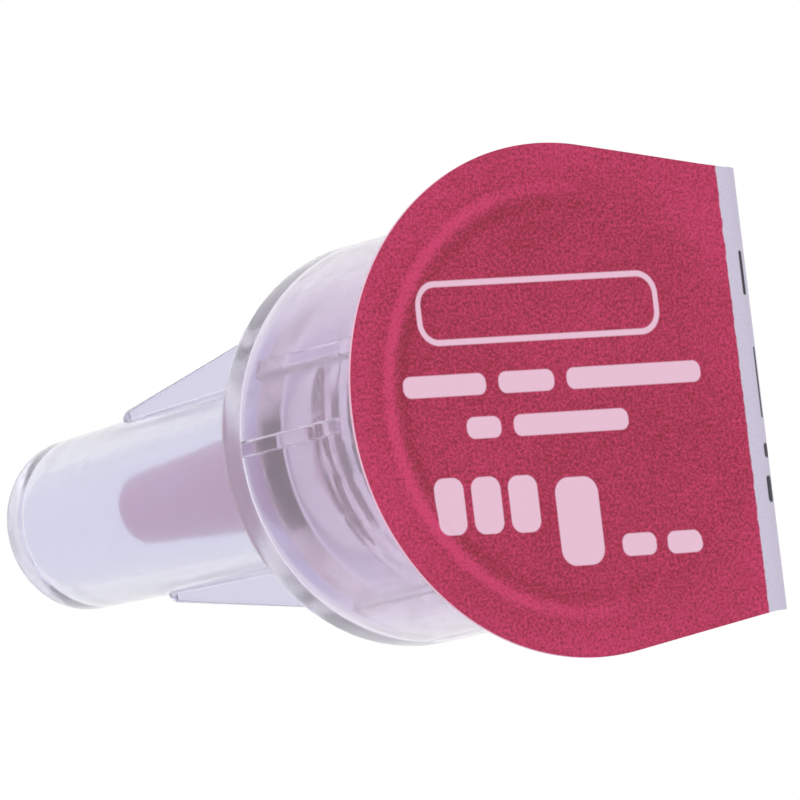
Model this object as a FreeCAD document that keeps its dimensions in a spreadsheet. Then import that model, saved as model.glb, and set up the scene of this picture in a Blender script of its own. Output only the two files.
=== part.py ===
import FreeCAD, Part
import math
import os
import Sketcher

# Pen needle, sealed in its outer container. It stands on its paper seal:
# the origin is the centre of the seal's outer face and +Z runs up the axis,
# from the mouth to the closed tip. Millimetres and degrees.

os.makedirs("parts", exist_ok=True)
doc = FreeCAD.newDocument("pen_needle")

# Driving dimensions
SIZES = [
    # hub, from the pen's thread outwards
    ("bore_radius", 4.65),
    ("bore_length", 7.65),
    ("hub_wall", 0.95),
    ("hub_recess", 1.5),
    ("hub_top_chamfer", 0.3),
    ("partition_thick", 1.0),
    ("mouth_chamfer", 0.3),
    ("rib_count", 4),
    ("rib_thick", 0.6),
    ("rib_reach", 0.3),
    ("rib_turn", 35.0),
    ("thread_pitch", 1.6),
    ("thread_turns", 2.5),
    ("thread_start", 1.1),
    ("thread_depth", 0.35),
    ("thread_foot", 0.9),
    ("thread_crest", 0.3),
    # hub, nose and boss
    ("nose_root_radius", 1.75),
    ("nose_root_length", 2.4),
    ("nose_draft", 0.05),
    ("nose_step", 0.55),
    ("nose_tip_radius", 0.85),
    ("nose_tip_length", 2.2),
    ("boss_radius", 1.1),
    ("boss_tip_radius", 0.6),
    ("boss_length", 1.0),
    # cannula and its glue
    ("cannula_radius", 0.1),
    ("cannula_wall", 0.05),
    ("cannula_gap", 0.03),
    ("patient_reach", 4.0),
    ("cartridge_reach", 6.0),
    ("bevel_length", 0.8),
    ("well_radius", 0.45),
    ("well_depth", 0.7),
    ("bead_radius", 0.6),
    ("bead_rise", 0.2),
    # inner shield, pressed on the nose
    ("shield_grip_gap", 0.05),
    ("shield_seat_gap", 0.1),
    ("shield_wall", 0.5),
    ("shield_length", 16.1),
    ("shield_tip_radius", 1.25),
    ("shield_end_thick", 0.8),
    ("shield_end_chamfer", 0.25),
    ("shield_rim_reach", 0.25),
    ("shield_rim_length", 0.7),
    # outer container, mouth and cup round the hub
    ("cup_gap", 0.15),
    ("cup_wall", 0.85),
    ("flange_reach", 0.35),
    ("flange_thick", 0.9),
    ("flange_chamfer", 0.2),
    ("shoulder_round", 0.6),
    ("floor_gap", 0.3),
    ("floor_thick", 0.8),
    ("key_count", 4),
    ("key_thick", 0.5),
    ("key_gap", 0.08),
    ("key_length", 6.6),
    ("key_turn", 10.0),
    # outer container, barrel and fins round the inner shield
    ("barrel_gap", 0.2),
    ("barrel_wall", 0.75),
    ("barrel_length", 21.05),
    ("tip_radius", 3.0),
    ("tip_wall", 0.85),
    ("tip_round", 0.7),
    ("tip_end_thick", 0.9),
    ("dimple_radius", 0.8),
    ("dimple_depth", 0.2),
    ("fin_count", 2),
    ("fin_thick", 0.8),
    ("fin_length", 15.4),
    ("fin_root_inset", 1.15),
    ("fin_front_reach", 0.3),
    ("fin_front_round", 0.25),
    # peel label, sealed on the flange
    ("paper_thick", 0.12),
    ("label_overhang", 1.35),
    ("tab_turn", 9.4),
    ("tab_flank_angle", 9.8),
    ("tab_fold_inset", 0.05),
    ("tab_fold_radius", 0.7),
    ("tab_fold_angle", 74.0),
    ("tab_curl_radius", 22.0),
    ("tab_curl_angle", 14.0),
    ("tab_corner_round", 0.9),
]

sheet = doc.addObject("Spreadsheet::Sheet", "Sizes")
for row, (alias, size) in enumerate(SIZES, start=1):
    sheet.set("A%d" % row, alias)
    sheet.set("B%d" % row, str(size))
    sheet.setAlias("B%d" % row, alias)
doc.recompute()

# Derived sizes, written once and used by every piece that meets there
HUB_RADIUS = "( bore_radius + hub_wall )"
CUP_INNER = "( " + HUB_RADIUS + " + rib_reach + cup_gap )"
CUP_RADIUS = "( " + CUP_INNER + " + cup_wall )"
CUP_MIDDLE = "( " + CUP_INNER + " + cup_wall / 2 )"
FLANGE_RADIUS = "( " + CUP_RADIUS + " + flange_reach )"
LABEL_RADIUS = "( " + FLANGE_RADIUS + " + label_overhang )"
SHIELD_BORE = "( nose_root_radius + shield_grip_gap )"
SHIELD_ROOT = "( " + SHIELD_BORE + " + shield_wall )"
SHIELD_RIM = "( " + SHIELD_ROOT + " + shield_rim_reach )"
BARREL_INNER = "( " + SHIELD_RIM + " + barrel_gap )"
BARREL_RADIUS = "( " + BARREL_INNER + " + barrel_wall )"
CHANNEL = "( cannula_radius + cannula_gap )"

# Derived heights, from the seal up
HUB_MOUTH = "( paper_thick + hub_recess )"
PARTITION = "( " + HUB_MOUTH + " + bore_length )"
BOSS_END = "( " + PARTITION + " - boss_length )"
HUB_TOP = "( " + PARTITION + " + partition_thick )"
NOSE_STEP = "( " + HUB_TOP + " + nose_root_length )"
NOSE_TOP = "( " + NOSE_STEP + " + nose_tip_length )"
WELL_FLOOR = "( " + NOSE_TOP + " - well_depth )"
SHIELD_BASE = "( " + HUB_TOP + " + shield_seat_gap )"
SHIELD_TOP = "( " + SHIELD_BASE + " + shield_length )"
FLOOR = "( " + HUB_TOP + " + floor_gap )"
SHOULDER = "( " + FLOOR + " + floor_thick )"
FLOOR_MIDDLE = "( " + FLOOR + " + floor_thick / 2 )"
TIP = "( " + SHOULDER + " + barrel_length )"
TIP_INSIDE = "( " + TIP + " - tip_end_thick )"
FIN_FRONT = "( " + SHOULDER + " + fin_length )"
FLANGE_TOP = "( paper_thick + flange_thick )"


def ref(expression):
    """An expression of size names, in the form that the document reads."""
    words = expression.split()
    return " ".join("Sizes." + word if word[0].isalpha() and word[-1] != "(" else word for word in words)


def value(expression):
    """The number that an expression of size names stands for."""
    found = sheet.evalExpression(ref(expression))
    return float(getattr(found, "Value", found))


def origin_part(body, role):
    """One of a body's own origin planes or axes."""
    return [one for one in body.Origin.OriginFeatures if one.Role == role][0]


def new_body(label):
    body = doc.addObject("PartDesign::Body", label)
    body.Label = label
    return body


def arc_between(start, end, radius, side):
    """A circle's arc from start to end, with its centre to the left (side 1) or right (side -1)."""
    chord = end - start
    half = chord.Length / 2
    left = FreeCAD.Vector(-chord.y, chord.x, 0).normalize()
    centre = (start + end) * 0.5 + left * side * math.sqrt(max(radius * radius - half * half, 0.0))
    angles = [math.atan2(place.y - centre.y, place.x - centre.x) for place in (start, end)]
    if side < 0:
        angles.reverse()
    return Part.ArcOfCircle(Part.Circle(centre, FreeCAD.Vector(0, 0, 1), radius), *angles)


def outline(body, name, role, corners):
    """A closed outline on one of a body's origin planes.

    Each corner is a pair of expressions. Where the edge to the next corner is an arc, the
    corner also gives its radius and the side of its centre.
    """
    sketch = body.newObject("Sketcher::SketchObject", name)
    sketch.AttachmentSupport = [(origin_part(body, role), "")]
    sketch.MapMode = "FlatFace"
    places = [FreeCAD.Vector(value(corner[0]), value(corner[1]), 0) for corner in corners]
    begin, finish = {}, {}
    for index, corner in enumerate(corners):
        start, end = places[index], places[(index + 1) % len(places)]
        if len(corner) == 2:
            sketch.addGeometry(Part.LineSegment(start, end), False)
            begin[index], finish[index] = 1, 2
        else:
            side = corner[3]
            sketch.addGeometry(arc_between(start, end, value(corner[2]), side), False)
            begin[index], finish[index] = (1, 2) if side > 0 else (2, 1)
    for index in range(len(corners)):
        after = (index + 1) % len(corners)
        sketch.addConstraint(Sketcher.Constraint("Coincident", index, finish[index], after, begin[after]))
    for index, corner in enumerate(corners):
        for kind, axis, expression in (("DistanceX", -2, corner[0]), ("DistanceY", -1, corner[1])):
            if expression == "0":
                hold = Sketcher.Constraint("PointOnObject", index, begin[index], axis)
                sketch.addConstraint(hold)
            else:
                hold = Sketcher.Constraint(kind, -1, 1, index, begin[index], value(expression))
                number = sketch.addConstraint(hold)
                sketch.setExpression("Constraints[%d]" % number, ref(expression))
        if len(corner) == 4:
            number = sketch.addConstraint(Sketcher.Constraint("Radius", index, value(corner[2])))
            sketch.setExpression("Constraints[%d]" % number, ref(corner[2]))
    doc.recompute()
    return sketch


def revolve(body, name, corners):
    """Turn an outline of (radius, height) corners round the Z axis."""
    feature = body.newObject("PartDesign::Revolution", name)
    feature.Profile = outline(body, name + "_outline", "XZ_Plane", corners)
    feature.ReferenceAxis = (feature.Profile[0], ["V_Axis"])
    feature.Angle = 360.0
    body.Tip = feature
    doc.recompute()
    return feature


def pad(body, name, role, corners, length, midplane=True, turn=None):
    """Pad an outline on one of the body's origin planes, to both sides or to one.

    An upright outline can first be turned round the Z axis.
    """
    feature = body.newObject("PartDesign::Pad", name)
    feature.Profile = outline(body, name + "_outline", role, corners)
    if turn:
        sketch = feature.Profile[0]
        sketch.AttachmentOffset = FreeCAD.Placement(FreeCAD.Vector(), FreeCAD.Rotation(FreeCAD.Vector(0, 1, 0), 1))
        sketch.setExpression(".AttachmentOffset.Rotation.Angle", ref(turn))
    feature.setExpression("Length", ref(length))
    feature.Midplane = midplane
    body.Tip = feature
    doc.recompute()
    return feature


def cut_through(body, name, role, corners):
    """Cut an outline right through the body, to both sides of one of its origin planes."""
    feature = body.newObject("PartDesign::Pocket", name)
    feature.Profile = outline(body, name + "_outline", role, corners)
    feature.Type = "ThroughAll"
    feature.Midplane = True
    body.Tip = feature
    doc.recompute()
    return feature


def repeat(body, name, feature, count):
    """Repeat a feature evenly round the Z axis."""
    pattern = body.newObject("PartDesign::PolarPattern", name)
    pattern.Originals = [feature]
    pattern.Axis = (origin_part(body, "Z_Axis"), [""])
    pattern.Angle = 360.0
    pattern.setExpression("Occurrences", ref(count))
    body.Tip = pattern
    doc.recompute()
    return pattern


def round_edges(body, name, radius, wanted):
    """Round those edges of the body so far for which wanted(edge) holds."""
    base = body.Tip
    names = ["Edge%d" % index for index, edge in enumerate(base.Shape.Edges, start=1) if wanted(edge)]
    feature = body.newObject("PartDesign::Fillet", name)
    feature.Base = (base, names)
    feature.setExpression("Radius", ref(radius))
    body.Tip = feature
    doc.recompute()
    return feature


def ring_edge(radius, height):
    """A test for the round edge of one radius at one height."""
    want_radius, want_height = value(radius), value(height)

    def test(edge):
        curve = edge.Curve
        if not isinstance(curve, Part.Circle):
            return False
        return abs(curve.Radius - want_radius) < 1e-4 and abs(curve.Center.z - want_height) < 1e-4

    return test


# Outer container: one moulding, open at the mouth and closed at the tip
def make_outer_container():
    body = new_body("outer_container")
    revolve(body, "shell", [
        (CUP_INNER, "paper_thick"),
        (FLANGE_RADIUS + " - flange_chamfer", "paper_thick"),
        (FLANGE_RADIUS, "paper_thick + flange_chamfer"),
        (FLANGE_RADIUS, FLANGE_TOP),
        (CUP_RADIUS, FLANGE_TOP),
        (CUP_RADIUS, SHOULDER),
        (BARREL_RADIUS, SHOULDER),
        ("tip_radius", TIP),
        ("dimple_radius", TIP),
        ("dimple_radius", TIP + " - dimple_depth"),
        ("0", TIP + " - dimple_depth"),
        ("0", TIP_INSIDE),
        ("tip_radius - tip_wall", TIP_INSIDE),
        (BARREL_INNER, FLOOR),
        (CUP_INNER, FLOOR),
    ])
    round_edges(body, "shoulder_edge", "shoulder_round", ring_edge(CUP_RADIUS, SHOULDER))
    round_edges(body, "tip_edge", "tip_round", ring_edge("tip_radius", TIP))

    # The gusset fins run from the edge of the shoulder to the thin part of the barrel
    narrowing = "( " + BARREL_RADIUS + " - tip_radius ) / barrel_length * fin_length"
    barrel_at_front = "( " + BARREL_RADIUS + " - " + narrowing + " )"
    fin_front_radius = barrel_at_front + " + fin_front_reach"
    fin_root_radius = CUP_RADIUS + " - fin_root_inset"
    fin = pad(body, "fin", "YZ_Plane", [
        (BARREL_INNER + " + barrel_wall / 2", FLOOR_MIDDLE),
        (fin_root_radius, FLOOR_MIDDLE),
        (fin_root_radius, SHOULDER),
        (fin_front_radius, FIN_FRONT),
        (barrel_at_front + " - tip_wall / 2", FIN_FRONT),
    ], "fin_thick")
    repeat(body, "fins", fin, "fin_count")
    reach, height = value(fin_front_radius), value(FIN_FRONT)

    def fin_corner(edge):
        box = edge.BoundBox
        level = box.ZLength < 1e-4 and abs(box.Center.z - height) < 1e-4
        return level and abs(math.hypot(box.Center.x, box.Center.y) - reach) < 1e-3

    round_edges(body, "fin_fronts", "fin_front_round", fin_corner)

    # Keys inside the cup bear on the hub's ribs, so that the container screws the hub on
    key = pad(body, "key", "XZ_Plane", [
        (HUB_RADIUS + " + key_gap", FLOOR_MIDDLE + " - key_length"),
        (CUP_MIDDLE, FLOOR_MIDDLE + " - key_length"),
        (CUP_MIDDLE, FLOOR_MIDDLE),
        (HUB_RADIUS + " + key_gap", FLOOR_MIDDLE),
    ], "key_thick", turn="key_turn")
    repeat(body, "keys", key, "key_count")
    return body


# Hub: open and threaded towards the pen, with the nose that carries the cannula
def make_hub():
    body = new_body("hub")
    revolve(body, "turned_form", [
        ("bore_radius + mouth_chamfer", HUB_MOUTH),
        (HUB_RADIUS, HUB_MOUTH),
        (HUB_RADIUS, HUB_TOP + " - hub_top_chamfer"),
        (HUB_RADIUS + " - hub_top_chamfer", HUB_TOP),
        ("nose_root_radius", HUB_TOP),
        ("nose_root_radius - nose_draft", NOSE_STEP),
        ("nose_root_radius - nose_step", NOSE_STEP),
        ("nose_tip_radius", NOSE_TOP),
        ("well_radius", NOSE_TOP),
        ("well_radius", WELL_FLOOR),
        (CHANNEL, WELL_FLOOR),
        (CHANNEL, BOSS_END),
        ("boss_tip_radius", BOSS_END),
        ("boss_radius", PARTITION),
        ("bore_radius", PARTITION),
        ("bore_radius", HUB_MOUTH + " + mouth_chamfer"),
    ])

    # The pen's thread is a trapezoid ridge on the bore's wall, rooted a little in it
    middle = HUB_MOUTH + " + thread_start"
    ridge = body.newObject("PartDesign::AdditiveHelix", "thread")
    ridge.Profile = outline(body, "thread_outline", "XZ_Plane", [
        ("bore_radius + thread_depth / 3", middle + " - thread_foot / 2"),
        ("bore_radius - thread_depth", middle + " - thread_crest / 2"),
        ("bore_radius - thread_depth", middle + " + thread_crest / 2"),
        ("bore_radius + thread_depth / 3", middle + " + thread_foot / 2"),
    ])
    ridge.ReferenceAxis = (origin_part(body, "Z_Axis"), [""])
    ridge.Mode = "pitch-turns-angle"
    ridge.setExpression("Pitch", ref("thread_pitch"))
    ridge.setExpression("Turns", ref("thread_turns"))
    ridge.Angle = 0
    body.Tip = ridge
    doc.recompute()

    rib = pad(body, "rib", "XZ_Plane", [
        (HUB_RADIUS + " - hub_wall / 3", HUB_MOUTH + " + hub_top_chamfer"),
        (HUB_RADIUS + " + rib_reach", HUB_MOUTH + " + hub_top_chamfer"),
        (HUB_RADIUS + " + rib_reach", HUB_TOP + " - hub_top_chamfer"),
        (HUB_RADIUS + " - hub_wall / 3", HUB_TOP + " - hub_top_chamfer"),
    ], "rib_thick")
    repeat(body, "ribs", rib, "rib_count")
    body.setExpression("Placement.Rotation.Angle", ref("rib_turn"))
    return body


# Inner shield: a thin tapered cap with a closed end, pressed on the hub's nose
def make_inner_shield():
    body = new_body("inner_shield")
    revolve(body, "cap", [
        (SHIELD_BORE, SHIELD_BASE),
        (SHIELD_RIM, SHIELD_BASE),
        (SHIELD_RIM, SHIELD_BASE + " + shield_rim_length"),
        (SHIELD_ROOT, SHIELD_BASE + " + shield_rim_length"),
        ("shield_tip_radius", SHIELD_TOP + " - shield_end_chamfer"),
        ("shield_tip_radius - shield_end_chamfer", SHIELD_TOP),
        ("0", SHIELD_TOP),
        ("0", SHIELD_TOP + " - shield_end_thick"),
        ("shield_tip_radius - shield_wall", SHIELD_TOP + " - shield_end_thick"),
        (SHIELD_BORE, NOSE_STEP),
    ])
    return body


# Adhesive: it fills the nose's glue well and rises in a dome round the cannula
def make_adhesive_bead():
    body = new_body("adhesive_bead")
    revolve(body, "bead", [
        ("cannula_radius", WELL_FLOOR),
        ("well_radius", WELL_FLOOR),
        ("well_radius", NOSE_TOP, "bead_radius", 1),
        ("cannula_radius", NOSE_TOP + " + bead_rise"),
    ])
    return body


# Cannula: a steel tube, ground to a bevel at both ends
def make_cannula():
    body = new_body("cannula")
    patient_end = NOSE_TOP + " + patient_reach"
    cartridge_end = PARTITION + " - cartridge_reach"
    revolve(body, "tube", [
        ("cannula_radius - cannula_wall", cartridge_end),
        ("cannula_radius", cartridge_end),
        ("cannula_radius", patient_end),
        ("cannula_radius - cannula_wall", patient_end),
    ])
    for name, end, way in (("patient_bevel", patient_end, "-"), ("cartridge_bevel", cartridge_end, "+")):
        back = "+" if way == "-" else "-"
        cut_through(body, name, "XZ_Plane", [
            ("0 - cannula_radius", end),
            ("cannula_radius", end + " " + way + " bevel_length"),
            ("cannula_radius * 2", end + " " + way + " bevel_length"),
            ("cannula_radius * 2", end + " " + back + " bevel_length"),
            ("0 - cannula_radius", end + " " + back + " bevel_length"),
        ])
    return body


# Peel label: one sheet of paper, a disc with a wide tab that is folded up beside the cup
def make_peel_label():
    body = new_body("peel_label")
    fold = "( " + FLANGE_RADIUS + " - tab_fold_inset )"
    lead = "( " + fold + " - tab_fold_radius )"
    bend = "( tab_curl_radius - tab_fold_radius )"
    curl_x = "( " + fold + " - " + bend + " * sin( tab_fold_angle ) )"
    curl_z = "( tab_fold_radius + " + bend + " * cos( tab_fold_angle ) )"
    full_angle = "tab_fold_angle + tab_curl_angle"

    def on_arc(centre_x, centre_z, radius, angle):
        """The point of an arc that starts at its lowest point, after one angle."""
        return (centre_x + " + ( " + radius + " ) * sin( " + angle + " )",
                centre_z + " - ( " + radius + " ) * cos( " + angle + " )")

    # The tab's section: a tight fold round the flange's edge, then a slack curl
    inner_fold = "tab_fold_radius - paper_thick"
    inner_curl = "tab_curl_radius - paper_thick"
    end_x, end_z = on_arc(curl_x, curl_z, "tab_curl_radius", full_angle)
    flank_run = "tan( tab_flank_angle )"
    fold_half = "( ( " + LABEL_RADIUS + " - " + fold + " * sin( tab_flank_angle ) ) / cos( tab_flank_angle ) )"
    pad(body, "tab", "XZ_Plane", [
        (lead, "0"),
        (fold, "0", "tab_fold_radius", 1),
        on_arc(fold, "tab_fold_radius", "tab_fold_radius", "tab_fold_angle") + ("tab_curl_radius", 1),
        (end_x, end_z),
        on_arc(curl_x, curl_z, inner_curl, full_angle) + (inner_curl, -1),
        on_arc(fold, "tab_fold_radius", inner_fold, "tab_fold_angle") + (inner_fold, -1),
        (fold, "paper_thick"),
        (lead, "paper_thick"),
    ], fold_half + " * 2")

    # Its flanks go on narrowing past the fold, and its corners are round
    past = "( " + end_z + " + paper_thick )"
    past_half = fold_half + " - " + past + " * " + flank_run
    outside = LABEL_RADIUS + " * 2"
    cut_through(body, "tab_flanks", "YZ_Plane", [
        ("0 - ( " + outside + " )", "0"),
        ("0 - " + fold_half, "0"),
        ("0 - ( " + past_half + " )", past),
        (past_half, past),
        (fold_half, "0"),
        (outside, "0"),
        (outside, past + " * 2"),
        ("0 - ( " + outside + " )", past + " * 2"),
    ])
    thick, corner_height = value("paper_thick"), value(end_z) - value("tab_corner_round") / 2

    def tab_corner(edge):
        return edge.Length < 2 * thick and edge.BoundBox.Center.z > corner_height

    round_edges(body, "tab_corners", "tab_corner_round", tab_corner)

    # The flat of the sheet: the disc, and the two flanks that leave it at a tangent
    touch_x = LABEL_RADIUS + " * sin( tab_flank_angle )"
    touch_y = LABEL_RADIUS + " * cos( tab_flank_angle )"
    pad(body, "flat", "XY_Plane", [
        (fold, "0 - " + fold_half),
        (fold, fold_half),
        (touch_x, touch_y, LABEL_RADIUS, 1),
        ("0 - " + LABEL_RADIUS, "0", LABEL_RADIUS, 1),
        (touch_x, "0 - " + touch_y),
    ], "paper_thick", midplane=False)
    body.setExpression("Placement.Rotation.Angle", ref("tab_turn"))
    return body


# Build every piece, check each object of the document, and write the pieces
pieces = [
    make_outer_container(),
    make_hub(),
    make_inner_shield(),
    make_adhesive_bead(),
    make_cannula(),
    make_peel_label(),
]
doc.recompute()
for item in doc.Objects:
    if "Invalid" in item.State or "Error" in item.State:
        raise RuntimeError("%s is %s" % (item.Name, item.State))
for piece in pieces:
    if piece.Shape.isNull() or not piece.Shape.isValid() or len(piece.Shape.Solids) != 1:
        raise RuntimeError("%s has no sound solid" % piece.Label)
    piece.Shape.exportStep("parts/%s.step" % piece.Label)
    box = piece.Shape.BoundBox
    print("%-16s volume %8.2f  x %.2f %.2f  y %.2f %.2f  z %.2f %.2f" % (
        piece.Label, piece.Shape.Volume, box.XMin, box.XMax, box.YMin, box.YMax, box.ZMin, box.ZMax))
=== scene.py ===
# %% [markdown]
# # Pen needle, sealed in its outer container
#
# The object is a single-use needle for an injection pen, as it leaves its box. Its translucent
# container is about 32 mm tall and stands on the printed paper seal that closes its mouth.
# Inside are the threaded hub, the needle and a small pink cap over the needle.
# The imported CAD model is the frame: every piece below has the CAD's place and size, and adds
# what the CAD leaves out, which is smooth moulded edges, print, grain and the look of plastic.

import math

import bmesh
import bpy
import numpy as np
from mathutils import Matrix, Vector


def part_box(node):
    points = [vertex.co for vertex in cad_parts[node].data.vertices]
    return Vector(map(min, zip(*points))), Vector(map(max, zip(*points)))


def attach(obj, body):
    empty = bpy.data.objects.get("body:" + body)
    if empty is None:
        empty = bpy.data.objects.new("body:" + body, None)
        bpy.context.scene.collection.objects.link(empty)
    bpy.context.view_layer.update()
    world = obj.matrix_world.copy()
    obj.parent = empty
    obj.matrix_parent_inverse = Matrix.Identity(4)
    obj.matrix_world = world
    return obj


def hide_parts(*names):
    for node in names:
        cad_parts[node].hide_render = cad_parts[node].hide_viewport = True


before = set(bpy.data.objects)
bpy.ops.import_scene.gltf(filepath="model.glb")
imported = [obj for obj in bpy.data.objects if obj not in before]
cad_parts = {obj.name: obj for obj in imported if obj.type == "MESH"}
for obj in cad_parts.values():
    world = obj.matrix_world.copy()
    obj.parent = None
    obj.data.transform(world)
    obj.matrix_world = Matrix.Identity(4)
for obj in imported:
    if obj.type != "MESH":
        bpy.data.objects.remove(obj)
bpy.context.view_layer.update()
MM = 0.001
BODY = "root"

# %% [markdown]
# The camera comes first, because every finish is judged through it. The photograph looks up at
# the seal's printed side through a long lens, and it is rolled so far that the container seems
# to lie down with its tip at the left. The round outlines of the seal, the cup and the tip are
# nearly true ellipses in it, and they give the view: how far the camera looks up, how far it is
# rolled and where it aims. A camera could be aimed with a constraint, but three plain
# directions can be checked by hand.

# %% Camera
ELEVATION = math.radians(-56.70)
ROLL = math.radians(-104.68)
DISTANCE = 400.0
AIM_RIGHT, AIM_UP = 5.681, 0.030
LENS, SENSOR = 544.25, 36.0

forward = np.array([math.cos(ELEVATION), 0.0, -math.sin(ELEVATION)])
level = np.cross(forward, [0.0, 0.0, 1.0])
level /= np.linalg.norm(level)
rise = np.cross(level, forward)
right = math.cos(ROLL) * level + math.sin(ROLL) * rise
up = np.cross(right, forward)
camera_place = -forward * DISTANCE - right * AIM_RIGHT - up * AIM_UP


def facing(place, along, top):
    """A 4 by 4 matrix: at place in millimetres, looking along one way with another way up."""
    matrix = np.eye(4)
    side = np.cross(along, top)
    side /= np.linalg.norm(side)
    matrix[:3, 0], matrix[:3, 1], matrix[:3, 2] = side, np.cross(side, along), -np.asarray(along)
    matrix[:3, 3] = np.asarray(place) * MM
    return Matrix(matrix)


def put_in_scene(thing, name, matrix):
    """Link an object that carries a camera or a lamp, at a place."""
    holder = bpy.data.objects.new(name, thing)
    bpy.context.scene.collection.objects.link(holder)
    holder.matrix_world = matrix
    return holder


lens = bpy.data.cameras.new("long_lens")
lens.lens, lens.sensor_width = LENS, SENSOR
lens.clip_start, lens.clip_end = 0.01, 10.0
bpy.context.scene.camera = put_in_scene(lens, "camera", facing(camera_place, forward, up))
print("camera stands at, mm:", camera_place.round(1))

# %% [markdown]
# The container, the hub and the cap are turned shapes with a few straight features on them:
# fins, keys and ribs. A turned shape alone could be a Screw modifier, and the fins a Boolean,
# but a Boolean leaves thin slivers that show in clear plastic as dark streaks. So each piece
# is one surface: a profile of radius against height, carried round the axis, where every ring
# of the surface may bulge out into a fin or dip in round a key.

# %% Profiles and rings
def rounded(corners, longest=0.8, steps=7):
    """Points of a profile through corners of (radius, height, rounding).

    A corner with a rounding is replaced by its inscribed arc: the arc touches both edges at
    rounding / tan(half the corner's angle) from the corner. Long runs get points in between.
    """
    corners = np.array(corners, float)
    points = [corners[:1, :2]]
    for before, corner, after in zip(corners, corners[1:], corners[2:]):
        place, size = corner[:2], corner[2]
        back, ahead = before[:2] - place, after[:2] - place
        back, ahead = back / np.linalg.norm(back), ahead / np.linalg.norm(ahead)
        half = math.acos(np.clip(back @ ahead, -1, 1)) / 2
        if size <= 0 or half > 1.56:
            points.append(place[None])
            continue
        centre = place + (back + ahead) / np.linalg.norm(back + ahead) * size / math.sin(half)
        first = place + back * size / math.tan(half) - centre
        last = place + ahead * size / math.tan(half) - centre
        turn = math.pi - 2 * half
        share = np.linspace(0, 1, steps)[:, None]
        arc = (np.sin((1 - share) * turn) * first + np.sin(share * turn) * last) / math.sin(turn)
        points.append(centre + arc)
    points.append(corners[-1:, :2])
    points = np.concatenate(points)
    runs = np.linalg.norm(np.diff(points, axis=0), axis=1)
    counts = np.maximum(np.ceil(runs / longest).astype(int), 1)
    starts = np.repeat(np.arange(len(runs)), counts)
    share = np.concatenate([np.arange(count) / count for count in counts])[:, None]
    dense = points[starts] * (1 - share) + points[starts + 1] * share
    return np.concatenate([dense, points[-1:]])


def rings(rows, features, gap_step=2.5, steps=4):
    """The XYZ of rings of one surface, as an array of rings by points.

    rows is radius and height. Each feature is (azimuth, half width, edge rounding, reach), and
    reach has one radius for each row. Over the ring's own radius it makes a fin, under it a key
    that stands into the hollow, and equal to it nothing. A ring is its circle, and at a feature
    it goes straight along one flank, round the edge, along a crest at the reach, and back down
    the other flank.
    """
    radius, height = rows[:, :1], rows[:, 1:]
    features = sorted(features, key=lambda feature: feature[0])
    share = np.linspace(0, 1, steps)
    parts, halves = [], []
    for _, half, _, reach in features:
        reach = np.asarray(reach, float)[:, None]
        active = np.abs(reach - radius) > 1e-6
        idle = radius * math.sin(half / reach.max())
        halves.append(np.where(active, half, np.minimum(idle, half)))
    for index, (azimuth, _, edge, reach) in enumerate(features):
        reach, half = np.asarray(reach, float)[:, None], halves[index]
        side = np.sign(reach - radius)
        edge = np.minimum(edge, np.abs(reach - radius) / 2) * side
        size = np.abs(edge)
        foot = np.sqrt(radius**2 - half**2)
        crest = np.sqrt(np.maximum(reach**2 - half**2, 0))
        flank = foot + (crest - edge - foot) * share
        bend = share[1:] * math.pi / 2
        across = -half + size * (1 - np.cos(bend))
        bent = np.sqrt(np.maximum(reach**2 - across**2, 0)) - edge * (1 - np.sin(bend))
        flat = (-half + size) * (1 - 2 * share[1:-1])
        level_crest = np.sqrt(np.maximum(reach**2 - flat**2, 0))
        out = np.concatenate([flank, bent, level_crest, bent[:, ::-1], flank[:, ::-1]], axis=1)
        over = np.concatenate(
            [-half + 0 * flank, across, flat, -across[:, ::-1], half + 0 * flank], axis=1)
        turn = math.radians(azimuth)
        parts.append((out * math.cos(turn) - over * math.sin(turn),
                      out * math.sin(turn) + over * math.cos(turn)))
        following = (index + 1) % len(features)
        ahead = math.radians(features[following][0]) + (2 * math.pi if following == 0 else 0)
        start = turn + np.arcsin(half / np.maximum(radius, 1e-9))
        end = ahead - np.arcsin(halves[following] / np.maximum(radius, 1e-9))
        count = max(int(math.degrees(ahead - turn) / gap_step), 2)
        sweep = start + (end - start) * np.linspace(0, 1, count + 1)[1:-1]
        parts.append((radius * np.cos(sweep), radius * np.sin(sweep)))
    x = np.concatenate([part[0] for part in parts], axis=1)
    y = np.concatenate([part[1] for part in parts], axis=1)
    return np.stack([x, y, height + 0 * x], axis=2)


def surface(name, xyz, loop=False, smooth=40):
    """A closed piece from an array of rings by points. With loop, the last ring joins the first."""
    rows, columns = xyz.shape[:2]
    ring = np.arange(rows if loop else rows - 1)[:, None]
    step = np.arange(columns)[None, :]
    after, beside = (ring + 1) % rows, (step + 1) % columns
    faces = np.stack([ring * columns + step, ring * columns + beside,
                      after * columns + beside, after * columns + step], axis=2)
    mesh = bpy.data.meshes.new(name)
    mesh.from_pydata((xyz.reshape(-1, 3) * MM).tolist(), [], faces.reshape(-1, 4).tolist())
    return finished(name, mesh, smooth)


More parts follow.
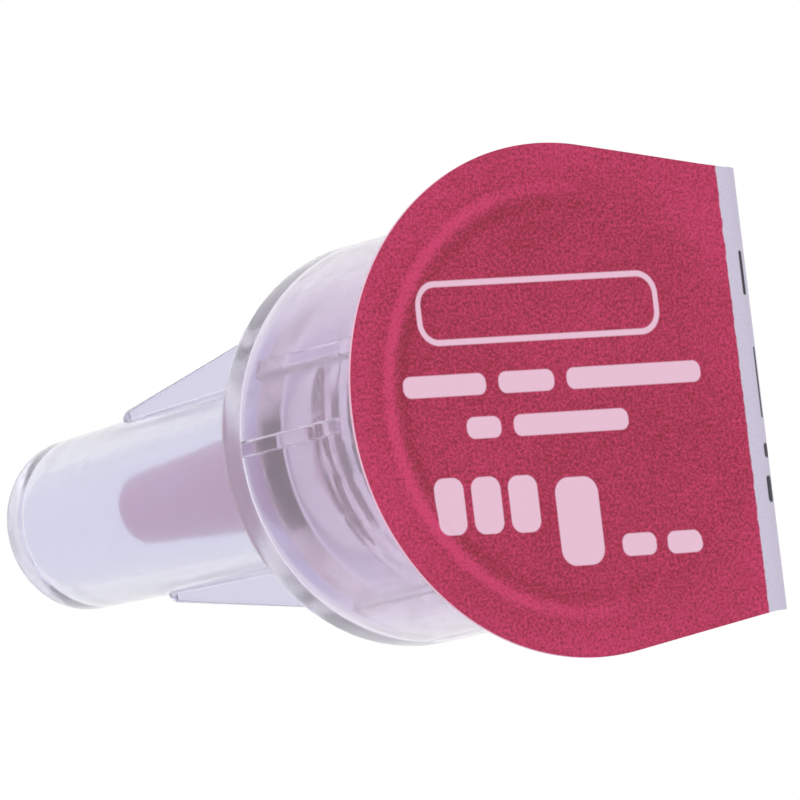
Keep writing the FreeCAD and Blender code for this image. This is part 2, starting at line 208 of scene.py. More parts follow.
def finished(name, mesh, smooth):
    """A piece from a mesh: coinciding points merged, shaded smooth below an angle in degrees."""
    work = bmesh.new()
    work.from_mesh(mesh)
    bmesh.ops.remove_doubles(work, verts=work.verts, dist=2e-7)
    bmesh.ops.dissolve_degenerate(work, edges=work.edges, dist=1e-7)
    open_edges = sum(len(edge.link_faces) != 2 for edge in work.edges)
    volume = work.calc_volume(signed=True) / MM**3
    work.to_mesh(mesh)
    work.free()
    mesh.shade_smooth()
    mesh.set_sharp_from_angle(angle=math.radians(smooth))
    piece = bpy.data.objects.new(name, mesh)
    bpy.context.scene.collection.objects.link(piece)
    triangles = sum(len(face.vertices) - 2 for face in mesh.polygons)
    print(f"{name}: {triangles} triangles, {open_edges} open edges, volume {volume:.1f} mm3")
    return piece


# %% [markdown]
# The outer container is one injection moulding of clear polypropylene. A wide cup takes the
# hub, and a slimmer barrel, tapered so that it leaves its mould, takes the needle's cap. The
# sizes are those of the CAD, in millimetres, and the container's top and the cap's ends are
# read from the frame. The container stands a film of lacquer above the paper it is sealed to:
# where clear plastic and paper share one plane, a ray slips past the paper and comes back black.

# %% Sizes shared by the pieces
PAPER, SEAL_FILM = 0.12, 0.02
HUB_MOUTH, PARTITION, HUB_TOP = 1.62, 9.27, 10.27
NOSE_STEP, NOSE_TOP = 12.67, 14.87
CUP_FLOOR, SHOULDER = 10.57, 11.37
BORE_RADIUS, HUB_RADIUS, HUB_RIB = 4.65, 5.60, 5.90
CUP_INNER, CUP_RADIUS, FLANGE_RADIUS, FLANGE_TOP = 6.05, 6.90, 7.25, 1.02
BARREL_INNER, BARREL_RADIUS = 2.75, 3.50
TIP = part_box("outer_container")[1].z / MM
TIP_RADIUS, TIP_WALL, TIP_THICK = 3.00, 0.85, 0.90
DIMPLE_FLOOR, DIMPLE_EDGE, DIMPLE_DEPTH = 0.40, 1.10, 0.20
FIN_FRONT, FIN_HALF, FIN_ROOT, FIN_TOE = 26.77, 0.40, 5.75, 3.434
KEY_END, KEY_HALF, KEY_RADIUS, KEY_TURN = 4.37, 0.25, 5.68, 10.0
FIN_EDGE, KEY_EDGE, END_ROUND, END_FLAT = 0.15, 0.08, 0.25, 0.002
print("container's top, mm:", round(TIP, 3))


# %% Outer container
def barrel_radius(height):
    """The barrel's outside narrows evenly from the shoulder to the tip."""
    return BARREL_RADIUS + (TIP_RADIUS - BARREL_RADIUS) * (height - SHOULDER) / (TIP - SHOULDER)


def quarter(distance, size):
    """How much a rounded end falls short, at a distance inside it: a quarter circle."""
    short = np.clip(1 - distance / size, 0, 1)
    return size * (1 - np.sqrt(1 - short**2))


round_steps = END_ROUND * (1 - np.cos(np.linspace(0, math.pi / 2, 6)))
fin_heights = np.append(FIN_FRONT - round_steps[::-1], FIN_FRONT + END_FLAT)
key_heights = np.append(KEY_END + round_steps[::-1], KEY_END - END_FLAT)
container_rows = rounded([
    (0, TIP - TIP_THICK, 0),
    (TIP_RADIUS - TIP_WALL, TIP - TIP_THICK, 0.2),
    (BARREL_INNER, CUP_FLOOR, 0.15),
    (CUP_INNER, CUP_FLOOR, 0.3),
    *[(CUP_INNER, height, 0) for height in key_heights],
    (CUP_INNER, PAPER + SEAL_FILM, 0.08),
    (FLANGE_RADIUS, PAPER + SEAL_FILM, 0.2),
    (FLANGE_RADIUS, FLANGE_TOP, 0.15),
    (CUP_RADIUS, FLANGE_TOP, 0.12),
    (CUP_RADIUS, SHOULDER, 0.6),
    (BARREL_RADIUS, SHOULDER, 0.25),
    *[(barrel_radius(height), height, 0) for height in fin_heights],
    (TIP_RADIUS, TIP, 0.7),
    (DIMPLE_EDGE, TIP, 0.3),
    (DIMPLE_FLOOR, TIP - DIMPLE_DEPTH, 0.3),
    (0, TIP - DIMPLE_DEPTH, 0),
])
radius, height = container_rows.T
row = np.arange(len(radius))
mouth_row = np.argmin(height)
on_outside, on_inside = row > mouth_row, row < mouth_row

fin_line = FIN_ROOT + (FIN_TOE - FIN_ROOT) * (height - SHOULDER) / (FIN_FRONT - SHOULDER)
fin_line -= quarter(FIN_FRONT - height, END_ROUND)
with_fin = on_outside & (height > SHOULDER - 1e-6) & (height < FIN_FRONT + END_FLAT / 2)
fin_reach = np.where(with_fin, np.maximum(radius, fin_line), radius)
key_line = KEY_RADIUS + quarter(height - KEY_END, END_ROUND)
with_key = on_inside & (height > KEY_END - END_FLAT / 2) & (radius > 1)
key_reach = np.where(with_key, np.minimum(radius, key_line), radius)
fins = [(azimuth, FIN_HALF, FIN_EDGE, fin_reach) for azimuth in (90, 270)]
keys = [(KEY_TURN + 90 * index, KEY_HALF, KEY_EDGE, key_reach) for index in range(4)]
container = surface("clear_container", rings(container_rows, fins + keys))
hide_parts("outer_container")

# %% [markdown]
# The hub screws on the pen. It is a cup open towards the seal, with a thread inside it, four
# ribs outside it that the container's keys turn, and a nose that carries the needle. The
# thread could be a Screw modifier on a small profile, but then it would only lie on the wall.
# Here the bore's own rings are pushed in by a ridge: at each point the axial distance to the
# nearest turn of a helix gives the ridge's height. The whole profile is a loop, from the mouth
# up the outside, over the nose, down through the needle's channel and back along the bore.

# %% Hub
PITCH, TURNS, THREAD_START = 1.6, 2.5, 1.1
THREAD_DEPTH, THREAD_FOOT, THREAD_CREST = 0.35, 0.9, 0.3
THREAD_RUN_OUT = 0.03
RIB_TURN, RIB_HALF, RIB_EDGE, RIB_INSET = 35.0, 0.3, 0.08, 0.3
NOSE_ROOT, NOSE_GRIP, NOSE_NECK, NOSE_END = 1.75, 1.70, 1.20, 0.85
WELL_RADIUS, WELL_FLOOR, CHANNEL = 0.45, 14.17, 0.13
BOSS_ROOT, BOSS_TIP, BOSS_END = 1.10, 0.60, 8.27


def thread_ridge(azimuth, height):
    """Height of the helical ridge: full within its crest, then falling to its foot.

    The turn number at a point is its height over the start, in pitches, less its azimuth in
    turns. Its distance to the nearest whole number, times the pitch, is the axial distance.
    The ridge runs out at both ends, over a small share of a turn.
    """
    turn = azimuth / (2 * math.pi)
    number = (height - HUB_MOUTH - THREAD_START) / PITCH - turn
    nearest = np.round(number)
    distance = np.abs(number - nearest) * PITCH
    along = nearest + turn
    ends = np.clip(along / THREAD_RUN_OUT, 0, 1) * np.clip((TURNS - along) / THREAD_RUN_OUT, 0, 1)
    slope = (THREAD_FOOT / 2 - distance) / (THREAD_FOOT / 2 - THREAD_CREST / 2)
    return THREAD_DEPTH * np.clip(slope, 0, 1) * ends


bore_heights = np.linspace(PARTITION - 0.3, HUB_MOUTH + 0.4, 90)
hub_rows = rounded([
    (BORE_RADIUS + 0.3, HUB_MOUTH, 0),
    (HUB_RADIUS, HUB_MOUTH, 0.1),
    (HUB_RADIUS, HUB_MOUTH + RIB_INSET - END_FLAT, 0),
    (HUB_RADIUS, HUB_MOUTH + RIB_INSET, 0),
    (HUB_RADIUS, HUB_MOUTH + RIB_INSET + 0.15, 0),
    (HUB_RADIUS, HUB_TOP - RIB_INSET - 0.15, 0),
    (HUB_RADIUS, HUB_TOP - RIB_INSET - END_FLAT, 0),
    (HUB_RADIUS, HUB_TOP - RIB_INSET, 0),
    (HUB_RADIUS - 0.1, HUB_TOP - 0.1, 0.2),
    (HUB_RADIUS - 0.3, HUB_TOP, 0.1),
    (NOSE_ROOT, HUB_TOP, 0.25),
    (NOSE_GRIP, NOSE_STEP, 0.1),
    (NOSE_NECK, NOSE_STEP, 0.1),
    (NOSE_END, NOSE_TOP, 0.1),
    (WELL_RADIUS, NOSE_TOP, 0.03),
    (WELL_RADIUS, WELL_FLOOR, 0),
    (CHANNEL, WELL_FLOOR, 0),
    (CHANNEL, BOSS_END, 0),
    (BOSS_TIP, BOSS_END, 0.1),
    (BOSS_ROOT, PARTITION, 0.1),
    (BORE_RADIUS, PARTITION, 0.25),
    *[(BORE_RADIUS, height, 0) for height in bore_heights],
    (BORE_RADIUS, HUB_MOUTH + 0.3, 0),
])
radius, height = hub_rows.T
ribbed = radius > HUB_RADIUS - 1e-6
ribbed &= height > HUB_MOUTH + RIB_INSET - END_FLAT / 2
ribbed &= height < HUB_TOP - RIB_INSET - END_FLAT / 2
rib_reach = np.where(ribbed, HUB_RIB, radius)
ribs = [(RIB_TURN + 90 * index, RIB_HALF, RIB_EDGE, rib_reach) for index in range(4)]
hub_xyz = rings(hub_rows, ribs)
azimuth = np.arctan2(hub_xyz[:, :, 1], hub_xyz[:, :, 0]) - math.radians(RIB_TURN)
azimuth = np.mod(azimuth, 2 * math.pi)
in_bore = np.abs(radius - BORE_RADIUS) < 1e-6
in_bore &= (height > HUB_MOUTH + 0.31) & (height < PARTITION - 0.26)
ridge = thread_ridge(azimuth, hub_xyz[:, :, 2]) * in_bore[:, None]
hub_xyz[:, :, :2] *= (1 - ridge / np.maximum(radius, 1e-9)[:, None])[:, :, None]
hub = surface("milky_hub", hub_xyz, loop=True)
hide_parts("hub")

# %% [markdown]
# The inner shield is the small pink cap that is pulled off just before the injection. It is a
# thin tapered tube with a closed end and a rim to hold it by, pressed on the hub's nose. The
# same rings make it, with two features that have the rings' own radius and so don't show.

# %% Inner shield
SHIELD_BASE, SHIELD_TOP = (corner.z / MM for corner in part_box("inner_shield"))
SHIELD_BORE, SHIELD_ROOT, SHIELD_RIM, SHIELD_TIP = 1.80, 2.30, 2.55, 1.25
SHIELD_WALL, SHIELD_THICK, RIM_TALL = 0.5, 0.8, 0.7
shield_rows = rounded([
    (0, SHIELD_TOP - SHIELD_THICK, 0),
    (SHIELD_TIP - SHIELD_WALL, SHIELD_TOP - SHIELD_THICK, 0.3),
    (SHIELD_BORE, NOSE_STEP, 0),
    (SHIELD_BORE, SHIELD_BASE, 0.08),
    (SHIELD_RIM, SHIELD_BASE, 0.15),
    (SHIELD_RIM, SHIELD_BASE + RIM_TALL, 0.15),
    (SHIELD_ROOT, SHIELD_BASE + RIM_TALL, 0.1),
    (SHIELD_TIP, SHIELD_TOP, 0.12),
    (0, SHIELD_TOP, 0),
])
plain = [(azimuth, 0.1, 0, shield_rows[:, 0]) for azimuth in (0, 180)]
shield = surface("pink_shield", rings(shield_rows, plain, gap_step=3))
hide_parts("inner_shield")

# %% [markdown]
# The seal is one sheet of coated paper, printed on its outside and pale inside. It is a disc
# with a wide pull tab, and the tab is folded up beside the cup. A flat piece bent by a Simple
# Deform would do for one fold, but here the sheet is given by its own unrolled coordinates:
# one runs along the tab and one across it. The place in space follows from those two, and the
# print is drawn in the same two coordinates, so that it bends with the sheet.

# %% Peel seal, unrolled
LABEL_RADIUS, TAB_TURN, FLANK = 8.60, math.radians(9.4), math.radians(9.8)
FOLD_START, FOLD_RADIUS, FOLD_ANGLE = 7.20, 0.70, math.radians(74.0)
CURL_RADIUS, CURL_ANGLE, CORNER = 22.0, math.radians(14.0), 0.9
FOLD_LENGTH, CURL_LENGTH = FOLD_RADIUS * FOLD_ANGLE, CURL_RADIUS * CURL_ANGLE
SHEET_END = FOLD_START + FOLD_LENGTH + CURL_LENGTH
TOUCH = LABEL_RADIUS * math.sin(FLANK)
CROWDING = 1.25


def bent(along):
    """The sheet's outer line from above: X, Z and the angle it has turned through.

    It is flat up to the fold, then goes round the fold's circle, then round the slack curl's
    larger circle, which touches the fold's where it ends.
    """
    in_fold = np.clip(along - FOLD_START, 0, FOLD_LENGTH) / FOLD_RADIUS
    in_curl = np.clip(along - FOLD_START - FOLD_LENGTH, 0, CURL_LENGTH) / CURL_RADIUS
    angle = in_fold + in_curl
    x = np.minimum(along, FOLD_START) + FOLD_RADIUS * np.sin(in_fold)
    x += CURL_RADIUS * (np.sin(angle) - np.sin(in_fold))
    z = FOLD_RADIUS * (1 - np.cos(in_fold)) + CURL_RADIUS * (np.cos(in_fold) - np.cos(angle))
    return x, z, angle


def half_width(along):
    """Half the sheet's width: a circle, then flanks that leave it at a tangent and narrow."""
    height = bent(along)[1]
    circle = np.sqrt(np.maximum(LABEL_RADIUS**2 - along**2, 0))
    flank = (LABEL_RADIUS - np.minimum(along, FOLD_START) * math.sin(FLANK)) / math.cos(FLANK)
    flank = flank - height * math.tan(FLANK)
    near_end = np.clip(along - (SHEET_END - CORNER), 0, CORNER)
    corner = CORNER - np.sqrt(CORNER**2 - near_end**2)
    return np.where(along < TOUCH, circle, flank - corner)


def ease(low, high, value):
    """A smooth step from 0 at low to 1 at high."""
    share = np.clip((value - low) / (high - low), 0, 1)
    return share * share * (3 - 2 * share)


disc_rows = -LABEL_RADIUS * np.cos(np.linspace(0, math.pi / 2, 84))
flat_rows = np.linspace(0, FOLD_START, 64)[1:]
fold_rows = FOLD_START + FOLD_LENGTH * np.linspace(0, 1, 12)[1:]
curl_rows = FOLD_START + FOLD_LENGTH + (CURL_LENGTH - CORNER) * np.linspace(0, 1, 20)[1:]
corner_rows = SHEET_END - CORNER * (1 - np.sin(np.linspace(0, math.pi / 2, 14)))[1:]
along = np.concatenate([disc_rows, flat_rows, fold_rows, curl_rows, corner_rows])[:, None]
spread = np.sin(np.linspace(-1, 1, 141) * CROWDING)[None, :] / math.sin(CROWDING)
across = half_width(along) * spread
along = along + 0 * across

# %% [markdown]
# The heat seal marks the paper. Inside the ring where it is welded to the container's flange
# the sheet is sunk a little, and outside it the free edge is slightly wavy. Both are relief of
# a few hundredths of a millimetre. It is real geometry here, so that it takes the light from
# every side, and it only ever rises into the object, because the seal is what it stands on.

# %% Peel seal, relief and mesh
SUNK, SEAL_INNER, SEAL_OUTER = 0.08, 6.50, 6.90
LIFT, WAVE = 0.04, 0.05
from_centre = np.hypot(along, across)
around = np.arctan2(across, along)
on_tab = ease(6.2, 7.0, along)
sunk_outside = SUNK * (1 - ease(SEAL_INNER, SEAL_OUTER, from_centre)) * (1 - on_tab)
sunk_inside = SUNK * (1 - ease(5.4, 5.95, from_centre))
wave = 0.5 + 0.5 * np.sin(5 * around + 0.8) * np.cos(2 * around - 0.5)
overhang = LIFT * ease(7.15, 7.55, from_centre) + WAVE * wave * ease(7.3, 8.6, from_centre)
overhang *= 1 - on_tab


def sheet_side(rise):
    """XYZ of one side of the sheet: the bent line, raised along its normal, turned to the tab."""
    x, z, angle = bent(along)
    x, z = x - rise * np.sin(angle), z + rise * np.cos(angle)
    turned = x * math.cos(TAB_TURN) - across * math.sin(TAB_TURN)
    return np.stack([turned, x * math.sin(TAB_TURN) + across * math.cos(TAB_TURN), z], axis=2)


outer_side = sheet_side(sunk_outside + overhang)
inner_side = sheet_side(PAPER + sunk_inside + overhang)
rows, columns = along.shape
index = np.arange(rows * columns).reshape(rows, columns)
corner_index = [index[:-1, :-1], index[:-1, 1:], index[1:, 1:], index[1:, :-1]]
outer_faces = np.stack(corner_index, axis=2).reshape(-1, 4)
inner_faces = outer_faces[:, ::-1] + rows * columns
rim = np.concatenate([index[:-1, 0], index[-1, :-1], index[:0:-1, -1], index[0, :0:-1]])
rim_after = np.roll(rim, -1)
rim_faces = np.stack([rim, rim_after, rim_after + rows * columns, rim + rows * columns], axis=1)
faces = np.concatenate([outer_faces, inner_faces, rim_faces])
sheet = bpy.data.meshes.new("peel_seal")
points = np.concatenate([outer_side.reshape(-1, 3), inner_side.reshape(-1, 3)]) * MM
sheet.from_pydata(points.tolist(), [], faces.tolist())
unrolled = np.tile(np.stack([along, across], axis=2).reshape(-1, 2), (2, 1))
corner_points = np.empty(len(sheet.loops), np.int32)
sheet.loops.foreach_get("vertex_index", corner_points)
sheet_uvs = unrolled[corner_points].astype(np.float32).ravel()
sheet.uv_layers.new(name="sheet_mm").data.foreach_set("uv", sheet_uvs)
printed = sheet.attributes.new("printed", "FLOAT", "FACE")
printed.data.foreach_set("value", (np.arange(len(faces)) < len(outer_faces)).astype(np.float32))
seal = finished("peel_seal", sheet, 50)
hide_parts("peel_label")

# %% [markdown]
# Every finish is made of nodes, but node trees are long to write. The first class below wraps
# one socket, and its arithmetic adds Math nodes, so that a pattern reads as a formula. Any
# other node comes from one method of its tree, which takes the node's type, its settings and
# its inputs. A finish is a tree that ends in a Principled shader.

# %% Shader arithmetic
class Wire:
    """The value of one socket. Arithmetic on it adds Math nodes to its tree."""

    def __init__(self, nodes, socket):
        self.nodes, self.socket = nodes, socket

    def also(self, name):
        """Another output of the same node."""
        return Wire(self.nodes, self.socket.node.outputs[name])

    def maths(self, operation, *inputs):
        """A Math node on this and other values."""
        return self.nodes.add("ShaderNodeMath", {"operation": operation}, dict(enumerate(inputs)))

    def __add__(self, other):
        return self.maths("ADD", self, other)

    __radd__ = __add__

    def __mul__(self, other):
        return self.maths("MULTIPLY", self, other)

    __rmul__ = __mul__

    def __sub__(self, other):
        return self.maths("SUBTRACT", self, other)

    def __rsub__(self, other):
        return self.maths("SUBTRACT", other, self)

    def __abs__(self):
        return self.maths("ABSOLUTE", self)

    def __pow__(self, other):
        return self.maths("POWER", self, other)

    def least(self, other):
        return self.maths("MINIMUM", self, other)

    def most(self, other):
        return self.maths("MAXIMUM", self, other)

    def eased(self, low, high):
        """A smooth step of this value, from 0 at low to 1 at high."""
        limits = {"Value": self, "From Min": low, "From Max": high}
        return self.nodes.add("ShaderNodeMapRange", {"interpolation_type": "SMOOTHSTEP"}, limits)


class Nodes:
    """A node tree under construction."""

    def __init__(self, tree):
        self.tree = tree

    def give(self, node, inputs):
        """Set or link a node's inputs. Underscores in a name stand for spaces."""
        for name, value in inputs.items():
            socket = node.inputs[name.replace("_", " ") if isinstance(name, str) else name]
            if isinstance(value, Wire):
                self.tree.links.new(value.socket, socket)
            else:
                socket.default_value = value

    def add(self, kind, settings=None, inputs=None, output=0):
        """Add a node: its settings first, then its inputs. Returns one output."""
        node = self.tree.nodes.new(kind)
        for name, value in (settings or {}).items():
            setattr(node, name, value)
        self.give(node, inputs or {})
        return Wire(self, node.outputs[output])

    def place(self):
        """Object coordinates, in metres."""
        return self.add("ShaderNodeTexCoord", output="Object")

    def stretched(self, vector, scale):
        """A vector scaled apart along its axes."""
        return self.add("ShaderNodeMapping", {}, {"Vector": vector, "Scale": scale})

    def noise(self, vector, scale, detail=2.0, roughness=0.5):
        """Fractal noise from 0 to 1, with as many cells to a unit as the scale says."""
        inputs = {"Vector": vector, "Scale": scale, "Detail": detail, "Roughness": roughness}
        return self.add("ShaderNodeTexNoise", {}, inputs)

    def mixed(self, factor, first, second):
        """A colour between two colours. The Mix node has its colours at inputs 6 and 7."""
        return self.add("ShaderNodeMix", {"data_type": "RGBA"}, {0: factor, 6: first, 7: second}, 2)

    def bumped(self, height, distance):
        """A normal from a height, with the height's real size in millimetres."""
        return self.add("ShaderNodeBump", {}, {"Height": height, "Distance": distance * MM})


class Finish(Nodes):
    """A material on one Principled shader, whose sockets it is given by name."""

    def __init__(self, name, **sockets):
        self.material = bpy.data.materials.new(name)
        self.material.use_nodes = True
        super().__init__(self.material.node_tree)
        self.shader = self.tree.nodes["Principled BSDF"]
        self.give(self.shader, sockets)

    def on(self, piece):
        """Put the material on a piece, in the place of any other."""
        piece.data.materials.clear()
        piece.data.materials.append(self.material)
        return self


# %% [markdown]
# The container and the hub are polypropylene. It is clear but not like glass: its surface is a
# little dull, and moulding leaves faint flow lines along the part and a skin that isn't quite
# flat. A plain glass shader looks wet and too clean. So the light goes through a slightly rough
# surface, a few hundredths of it are scattered instead, and a little noise, stretched along the
# flow, bends both. The walls have their real thickness, so they refract truly.

# %% Polypropylene
FLOW_DEPTH = 0.005


def polypropylene(name, colour, clear, rough):
    """Moulded plastic: its tint, the share of light that goes through, and its roughness."""
    finish = Finish(name, Base_Color=colour, Transmission_Weight=clear, IOR=1.49,
                    Specular_IOR_Level=0.5)
    place = finish.place()
    streaks = finish.noise(finish.stretched(place, (1, 1, 0.12)), 1600, detail=3)
    skin = finish.noise(place, 700, detail=2)
    finish.give(finish.shader, {
        "Roughness": rough + 0.05 * streaks.eased(0.35, 0.75),
        "Normal": finish.bumped(streaks * 0.4 + skin, FLOW_DEPTH),
    })
    return finish


# The hub's faint pink is painted pink light, reflected from the seal's print.
polypropylene("natural_polypropylene", (1.0, 0.98, 1.0, 1), 0.99, 0.06).on(hub)

# %% [markdown]
# In the photograph the container isn't one tint. The barrel is bluish, the cup is pinker where
# pink things show through it, the solid fins are deepest, and the shoulder, where the light
# goes the longest way round through the wall, is nearly white. The cup's pink is painted pink
# light and the shoulder's white is painted light. A depth of colour could come from absorption
# within the walls, but it isn't used. So the tint varies with the place: with the height, with
# the radius, and with how far a point stands off the barrel's cone, which is positive only on a
# fin.

# %% The container's tint and painted light
# The cup's tint is painted pink light, from the pink print and cap seen through the wall.
BARREL_TINT, CUP_TINT_PAINTED_PINK = (0.815, 0.81, 0.92, 1), (0.87, 0.77, 0.905, 1)
# The shoulder's near white is painted light, over the grey that reflections inside the wall give
# it.
SHOULDER_PAINTED_LIGHT, FIN_TINT = (1.0, 0.95, 1.0, 1), (0.67, 0.65, 0.81, 1)
clear_plastic = polypropylene("clear_polypropylene", BARREL_TINT, 0.97, 0.08).on(container)
spot = clear_plastic.add("ShaderNodeSeparateXYZ", {}, {"Vector": clear_plastic.place()})
spot_height = spot.also("Z")
spot_radius = (spot ** 2 + spot.also("Y") ** 2) ** 0.5
up_barrel = spot_height.eased(9.0 * MM, 13.0 * MM)
narrowing = (BARREL_RADIUS - TIP_RADIUS) / (TIP - SHOULDER)
off_barrel = spot_radius + spot_height * narrowing - (BARREL_RADIUS + SHOULDER * narrowing) * MM
on_fin = up_barrel * off_barrel.eased(0.01 * MM, 0.06 * MM)
near_top = spot_height.eased((SHOULDER - 1.6) * MM, (SHOULDER - 0.6) * MM)
near_edge = spot_radius.eased((CUP_RADIUS - 1.3) * MM, (CUP_RADIUS - 0.7) * MM)
# Painted pink light on the cup, below the barrel.
tint_and_painted_light = clear_plastic.mixed(up_barrel, CUP_TINT_PAINTED_PINK, BARREL_TINT)
# Painted light on the shoulder, at the top edge of the cup.
tint_and_painted_light = clear_plastic.mixed(near_top * near_edge, tint_and_painted_light, SHOULDER_PAINTED_LIGHT)
tint_and_painted_light = clear_plastic.mixed(on_fin, tint_and_painted_light, FIN_TINT)
clear_plastic.give(clear_plastic.shader, {"Base_Color": tint_and_painted_light})
print("the barrel's draft, degrees:", round(math.degrees(math.atan(narrowing)), 2))

# %% [markdown]
# The cap is soft polyethylene, tinted pink through and through. Nothing is seen through it: a
# small share of the light goes through a rough surface, and the rest is scattered. The glue is
# a clear resin and the needle drawn steel, with its marks along the tube. Both pieces are the
# CAD's own, because their shapes need nothing more.

# %% Pink polyethylene, adhesive and steel
pink = Finish("pink_polyethylene", Transmission_Weight=0.05, IOR=1.51)
mottle = pink.noise(pink.stretched(pink.place(), (1, 1, 0.3)), 900, detail=3)
pink.give(pink.shader, {
    "Base_Color": pink.mixed(mottle.eased(0.3, 0.8), (1.0, 0.60, 0.79, 1), (1.0, 0.68, 0.85, 1)),
    "Roughness": 0.34 + 0.12 * mottle,
    "Normal": pink.bumped(mottle, 0.010),
})
pink.on(shield)

glue = Finish("cured_adhesive", Base_Color=(0.90, 0.88, 0.78, 1),
              Transmission_Weight=0.8, IOR=1.50)
ripple = glue.noise(glue.place(), 2500)
glue.give(glue.shader, {"Roughness": 0.05 + 0.06 * ripple, "Normal": glue.bumped(ripple, 0.004)})
glue.on(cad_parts["adhesive_bead"])

steel = Finish("needle_steel", Base_Color=(0.72, 0.73, 0.75, 1), Metallic=1.0)
drawn = steel.noise(steel.stretched(steel.place(), (1, 1, 0.03)), 20000, detail=4)
steel.give(steel.shader, {"Roughness": 0.18 + 0.20 * drawn, "Normal": steel.bumped(drawn, 0.001)})
steel.on(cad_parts["cannula"])
for finish in (clear_plastic, pink, glue, steel):
    print(finish.material.name, "has", len(finish.tree.nodes), "nodes")

# %% [markdown]
# The print is crimson ink on the paper's outside, with a white edge on the tab. Its marks are
# plain shapes: the part carries no words, so each line of text is a row of rounded bars, as a
# designer greys out a text, and a bare outlined field takes the place of the name. They could
# be separate thin pieces, but print has no thickness that shows. A bar is drawn from its
# distance: how far a point lies outside the bar's core, less its rounding.

# %% Print on the seal
ink = Finish("seal_print", Specular_IOR_Level=0.4)
sheet_uv = ink.add("ShaderNodeUVMap", {"uv_map": "sheet_mm"})
split = ink.add("ShaderNodeSeparateXYZ", {}, {"Vector": sheet_uv})
run, cross = split, split.also("Y")
FEATHER, OUTLINE = 0.035, 0.10


def bar(centre_x, centre_y, width, height, rounding):
    """Signed distance in millimetres to a rounded bar on the sheet."""
    beside = abs(run - centre_x) - (width / 2 - rounding)
    above = abs(cross - centre_y) - (height / 2 - rounding)
    outside = (beside.most(0) ** 2 + above.most(0) ** 2) ** 0.5
    return outside + beside.most(above).least(0) - rounding


def drawn_bars(bars):
    """1 on any of the bars and 0 elsewhere, with a soft edge."""
    nearest = None
    for one in bars:
        distance = bar(*one)
        nearest = distance if nearest is None else nearest.least(distance)
    return 1 - nearest.eased(-FEATHER, FEATHER)


TEXT_TALL = 0.72
TEXT_ROWS = [
    (-0.70, [(-6.50, -3.25), (-2.75, -0.55), (-0.05, 5.30)]),
    (0.75, [(-4.20, -2.85), (-2.35, 2.20)]),
]
bars = [((start + end) / 2, level, end - start, TEXT_TALL, 0.30)
        for level, words in TEXT_ROWS for start, end in words]
bars += [(-5.20, 3.30, 1.15, 1.90, 0.40), (-3.75, 3.33, 1.15, 1.90, 0.40)]
bars += [(-2.30, 3.36, 1.15, 1.90, 0.40), (-0.20, 4.05, 1.70, 2.95, 0.55)]
bars += [(2.05, 4.95, 1.35, 0.75, 0.30), (3.85, 4.97, 1.35, 0.75, 0.30)]
field = bar(-0.85, -3.10, 9.40, 1.95, 0.70)
outline_mark = 1 - (abs(field) - OUTLINE).eased(-FEATHER, FEATHER)
marks = drawn_bars(bars).most(outline_mark)
print("marks on the seal:", len(bars), "bars and one outlined field")

# %% [markdown]
# Coated paper under a screen print isn't one flat red. The ink sits in the paper's grain, so
# it has fine light and dark specks. Along the ridge where the paper is welded to the flange it
# has a painted highlight, and in the groove inside it painted shade, both mostly on the side
# away from the tab: they stand in for the light on the relief. The ink is also a little lighter
# towards the outer edge. The white edge of the tab carries a few black dashes. One number, the
# ink's density with the painted light, takes all of that in, and the colour follows from it.

# %% Ink, paper, dashes and painted light
RIDGE_RADIUS, GROOVE_RADIUS, WHITE_EDGE = 7.12, 6.52, 6.85
DARK_INK, LIGHT_INK = (0.245, 0.002, 0.022, 1), (0.65, 0.042, 0.155, 1)
DULL_WHITE, WHITE = (0.60, 0.55, 0.70, 1), (0.66, 0.61, 0.76, 1)
# The paper's inside is pale, painted pink here for the light of the print that shines through it.
MARK, BLACK, PAPER_BACK_PAINTED_PINK = (0.86, 0.55, 0.70, 1), (0.02, 0.02, 0.03, 1), (0.86, 0.50, 0.66, 1)
grain = ink.noise(sheet_uv, 9.0, detail=3, roughness=0.85)
cloud = ink.noise(sheet_uv, 0.22, detail=2)
coarse = ink.noise(sheet_uv, 2.2, detail=3)
density_and_light = (grain - 0.5) * 2.2 + (cloud - 0.5) * 0.3 + (coarse - 0.5) * 0.25 + 0.5
radius_here = (run ** 2 + cross ** 2) ** 0.5
# Painted highlight on the weld's ridge and painted shade in its groove, mostly on the side away
# from the tab.
ridge = 1 - abs(radius_here - RIDGE_RADIUS).eased(0.05, 0.34)
groove_shade = 1 - abs(radius_here - GROOVE_RADIUS).eased(0.05, 0.30)
lit_side = (0.45 - run * 0.11).eased(0, 1)
density_and_light = density_and_light + lit_side * (ridge * 0.30 - groove_shade * 0.10) + radius_here.eased(6.6, 8.5) * 0.12
crimson = ink.mixed(density_and_light.eased(0.15, 0.95), DARK_INK, LIGHT_INK)
marked = ink.mixed(marks, crimson, MARK)
white = ink.mixed(grain.eased(0.3, 0.7), DULL_WHITE, WHITE)
dashes = drawn_bars([(7.45, -3.9, 0.16, 1.5, 0.07), (7.62, -0.2, 0.14, 2.4, 0.06),
                     (7.62, 2.1, 0.30, 0.5, 0.12), (7.55, 3.4, 0.30, 0.9, 0.12)])
edge_band = ink.mixed(dashes, white, BLACK)
past_edge = (run + 0.12 * (coarse - 0.5)).eased(WHITE_EDGE - 0.03, WHITE_EDGE + 0.03)
outside = ink.mixed(past_edge, marked, edge_band)
is_printed = ink.add("ShaderNodeAttribute", {"attribute_name": "printed"}, output="Fac")
ink.give(ink.shader, {
    "Base_Color": ink.mixed(is_printed, PAPER_BACK_PAINTED_PINK, outside),
    "Roughness": 0.42 + 0.22 * grain,
    "Normal": ink.bumped(grain + 0.6 * coarse, 0.018),
})
ink.on(seal)

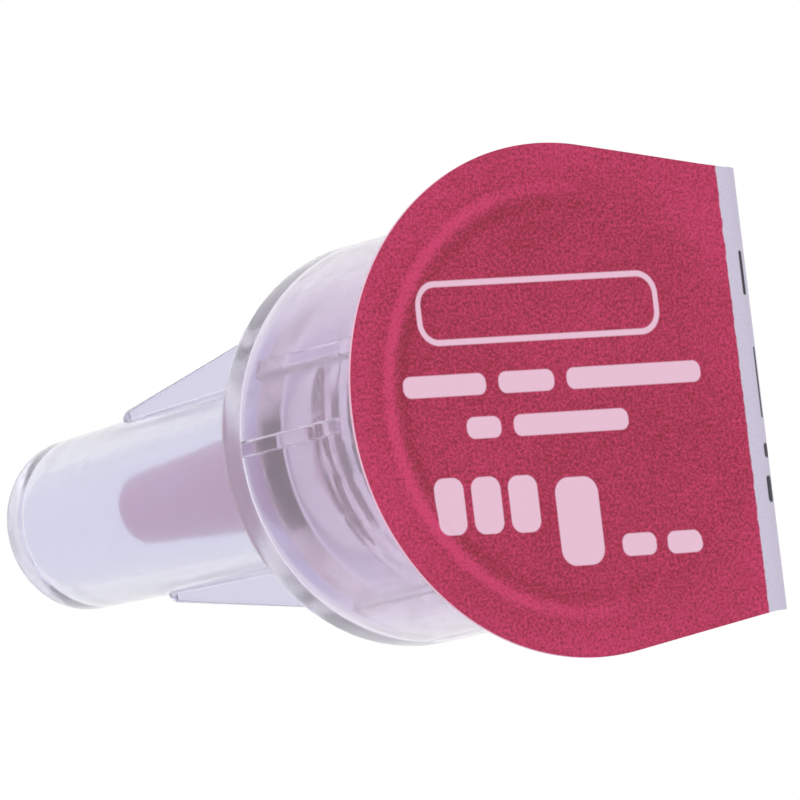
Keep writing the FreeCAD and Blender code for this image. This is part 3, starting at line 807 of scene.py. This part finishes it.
# %% [markdown]
# The studio is a pale floor and soft light. The seal faces down, and the photograph looks at it
# from under the level it stands on. So only a camera above the floor sees it, with the object's
# shadow on it, and to every other ray the floor is clear. The world is white wherever the
# camera sees it, also in or through the object, and a little dimmer as a light. A box of lamps
# would do, but a plain world with two large lamps on the camera's side has less noise.

# %% Floor, world and lamps
FLOOR_HALF, FLOOR_HEIGHT = 450.0, -0.02
ground = bpy.data.meshes.new("floor")
floor_corners = [(x * FLOOR_HALF * MM, y * FLOOR_HALF * MM, FLOOR_HEIGHT * MM)
                 for x, y in ((-1, -1), (1, -1), (1, 1), (-1, 1))]
ground.from_pydata(floor_corners, [], [(0, 1, 2, 3)])
floor = bpy.data.objects.new("floor", ground)
bpy.context.scene.collection.objects.link(floor)
pale = Finish("pale_floor", Base_Color=(0.86, 0.86, 0.87, 1), Roughness=0.9, Specular_IOR_Level=0.1)
seen = pale.add("ShaderNodeLightPath", output="Is Camera Ray")
front = 1 - pale.add("ShaderNodeNewGeometry", output="Backfacing")
clear = pale.add("ShaderNodeBsdfTransparent")
opaque = Wire(pale, pale.shader.outputs[0])
shown = pale.add("ShaderNodeMixShader", {}, {0: seen * front, 1: clear, 2: opaque})
pale.give(pale.tree.nodes["Material Output"], {"Surface": shown})
pale.on(floor)

AS_LIGHT, AS_BACKDROP = 0.80, 1.0
world = bpy.data.worlds.new("studio")
bpy.context.scene.world = world
world.use_nodes = True
studio = Nodes(world.node_tree)
path = studio.add("ShaderNodeLightPath", output="Is Camera Ray")
is_seen = path.most(path.also("Is Glossy Ray")).most(path.also("Is Transmission Ray"))
studio.give(studio.tree.nodes["Background"], {
    "Color": (1, 1, 1, 1),
    "Strength": AS_LIGHT + is_seen * (AS_BACKDROP - AS_LIGHT),
})

LAMPS = [
    ("key_lamp", 260.0, -160.0, 180.0, 0.22, 160.0),
    ("fill_lamp", 260.0, 220.0, -60.0, 0.08, 200.0),
]
for name, toward, sideways, above, watts, size in LAMPS:
    light = bpy.data.lights.new(name, "AREA")
    light.energy, light.shape, light.size = watts, "DISK", size * MM
    place = -forward * toward + right * sideways + up * above
    put_in_scene(light, name, facing(place, -place / np.linalg.norm(place), up))
print("lamps:", ", ".join(lamp[0] for lamp in LAMPS))

# %% [markdown]
# Clear walls behind clear walls need many bounces, or the innermost pieces go black. The view
# stays plain, so that a colour renders as it is written.

# %% Bounces, view and finish
scene = bpy.context.scene
scene.cycles.max_bounces = 32
scene.cycles.diffuse_bounces = 16
scene.cycles.glossy_bounces = 32
scene.cycles.transmission_bounces = 32
scene.cycles.transparent_max_bounces = 32
scene.view_settings.view_transform = "Standard"
for piece in (container, hub, shield, seal):
    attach(piece, BODY)
